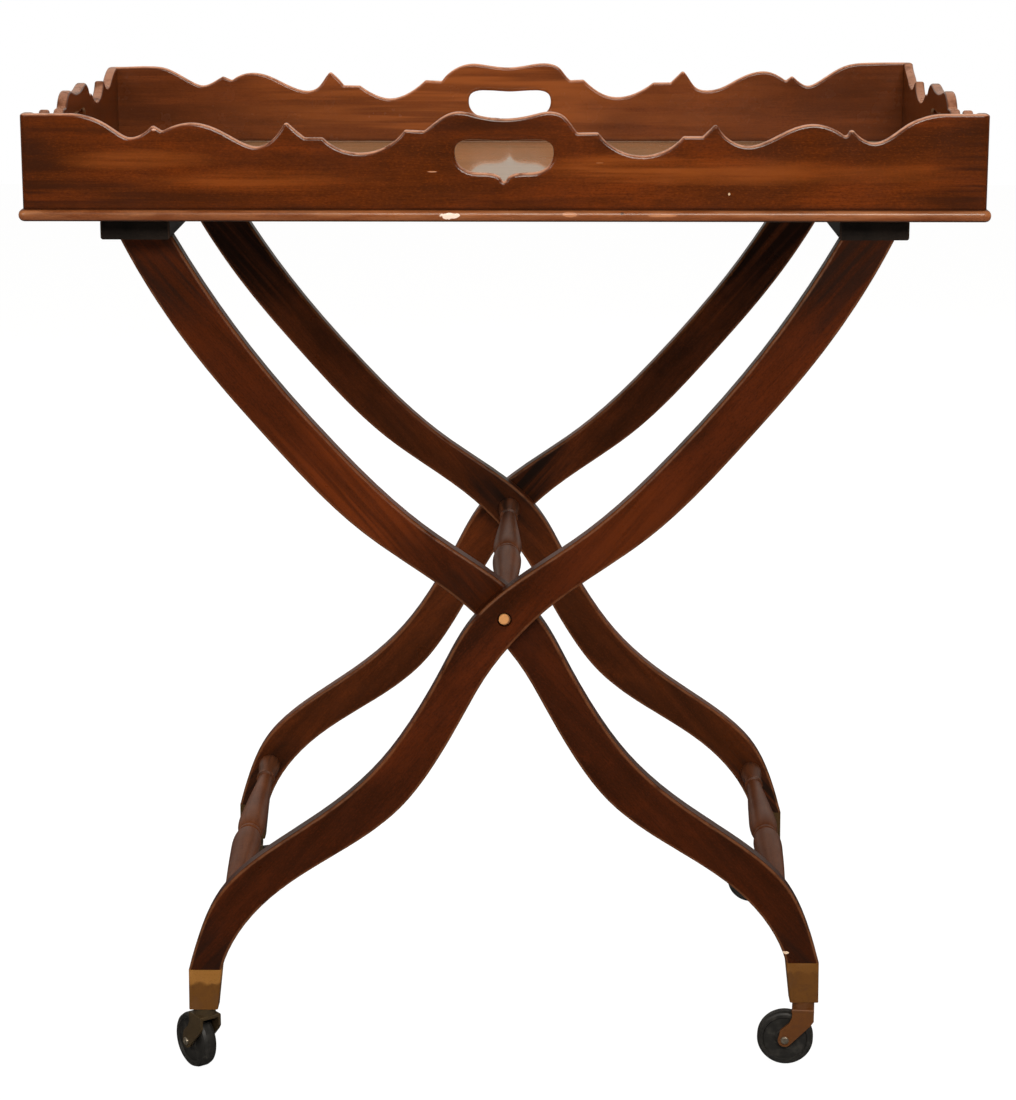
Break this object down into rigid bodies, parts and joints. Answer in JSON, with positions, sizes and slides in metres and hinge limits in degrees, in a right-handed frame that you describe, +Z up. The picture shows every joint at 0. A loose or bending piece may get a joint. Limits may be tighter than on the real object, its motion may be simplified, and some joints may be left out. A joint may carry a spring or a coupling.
{
  "type": "butler's tray on folding stand",
  "caption": "Mahogany tray with shaped galleries and handholds on a folding crossed-leg stand with turned stretchers, webbing straps and brass swivel casters.",
  "frame": {"origin": "on the floor under the middle of the tray", "axes": "+Z up; the front faces -Y; +X to the right, along the tray's length"},
  "size_m": [0.8, 0.532, 0.8558],
  "materials": {
    "gallery_wood": "satin polish",
    "tray_board_wood": "glossy polish",
    "frame_wood": "satin polish, dark in places",
    "pin_wood": "end grain, waxed",
    "cup_brass": "aged",
    "caster_bronze": "dark with age",
    "wheel_black": "satin black",
    "screw_steel": "dull",
    "tack_brass": "aged",
    "strap_webbing": "woven, undyed"
  },
  "bodies": {
    "outer_frame": {"outer_cup_screws": "cup_brass", "outer_leg_back": "frame_wood", "outer_leg_front": "frame_wood", "outer_lower_stretcher": "frame_wood", "outer_rail": "frame_wood", "outer_strap_tacks": "tack_brass", "caster_front_left_cup": "cup_brass", "caster_back_left_cup": "cup_brass"},
    "inner_frame": {"inner_cup_screws": "cup_brass", "inner_leg_back": "frame_wood", "inner_leg_front": "frame_wood", "inner_lower_stretcher": "frame_wood", "inner_rail": "frame_wood", "inner_strap_tacks": "tack_brass", "caster_front_right_cup": "cup_brass", "caster_back_right_cup": "cup_brass", "pivot_stretcher": "frame_wood", "pivot_pin_front": "pin_wood", "pivot_pin_back": "pin_wood"},
    "slings": {"strap_front": "strap_webbing", "strap_middle": "strap_webbing", "strap_back": "strap_webbing"},
    "tray": {"base_board": "tray_board_wood", "gallery_front": "gallery_wood", "gallery_back": "gallery_wood", "gallery_left": "gallery_wood", "gallery_right": "gallery_wood", "tray_screws": "screw_steel"},
    "swivel_front_left": {"caster_front_left_fork": "caster_bronze", "caster_front_left_axle": "caster_bronze"},
    "wheel_front_left": {"caster_front_left_wheel": "wheel_black"},
    "swivel_back_left": {"caster_back_left_fork": "caster_bronze", "caster_back_left_axle": "caster_bronze"},
    "wheel_back_left": {"caster_back_left_wheel": "wheel_black"},
    "swivel_front_right": {"caster_front_right_fork": "caster_bronze", "caster_front_right_axle": "caster_bronze"},
    "wheel_front_right": {"caster_front_right_wheel": "wheel_black"},
    "swivel_back_right": {"caster_back_right_fork": "caster_bronze", "caster_back_right_axle": "caster_bronze"},
    "wheel_back_right": {"caster_back_right_wheel": "wheel_black"}
  },
  "joints": [
    {"name": "fold", "type": "hinge", "parent": "outer_frame", "child": "inner_frame", "pos_m": [0, 0, 0.418], "axis": [0, 1, 0], "range_deg": [0, 58], "deforming": ["strap_front", "strap_middle", "strap_back"]},
    {"name": "sling_rise", "type": "slide", "parent": "outer_frame", "child": "slings", "axis": [0, 0, 1], "range_m": [0, 0.36]},
    {"name": "tray_lift", "type": "slide", "parent": "slings", "child": "tray", "axis": [0, 0, 1], "range_m": [0, 0.3]},
    {"name": "swivel_front_left", "type": "hinge", "parent": "outer_frame", "child": "swivel_front_left", "pos_m": [-0.2664, -0.232, 0.045], "axis": [0, 0, 1], "continuous": true},
    {"name": "roll_front_left", "type": "hinge", "parent": "swivel_front_left", "child": "wheel_front_left", "pos_m": [-0.27594, -0.21979, 0.025], "axis": [-0.788, -0.6157, 0], "continuous": true},
    {"name": "swivel_back_left", "type": "hinge", "parent": "outer_frame", "child": "swivel_back_left", "pos_m": [-0.2664, 0.232, 0.045], "axis": [0, 0, 1], "continuous": true},
    {"name": "roll_back_left", "type": "hinge", "parent": "swivel_back_left", "child": "wheel_back_left", "pos_m": [-0.25094, 0.23308, 0.025], "axis": [-0.0698, 0.9976, 0], "continuous": true},
    {"name": "swivel_front_right", "type": "hinge", "parent": "inner_frame", "child": "swivel_front_right", "pos_m": [0.2664, -0.211, 0.045], "axis": [0, 0, 1], "continuous": true},
    {"name": "roll_front_right", "type": "hinge", "parent": "swivel_front_right", "child": "wheel_front_right", "pos_m": [0.25099, -0.20938, 0.025], "axis": [-0.1045, -0.9945, 0], "continuous": true},
    {"name": "swivel_back_right", "type": "hinge", "parent": "inner_frame", "child": "swivel_back_right", "pos_m": [0.2664, 0.211, 0.045], "axis": [0, 0, 1], "continuous": true},
    {"name": "roll_back_right", "type": "hinge", "parent": "swivel_back_right", "child": "wheel_back_right", "pos_m": [0.2509, 0.211, 0.025], "axis": [0, -1, 0], "continuous": true}
  ],
  "couplings": [
    {"joint": "sling_rise", "follows": "fold", "m_per_rad": 0.345}
  ]
}
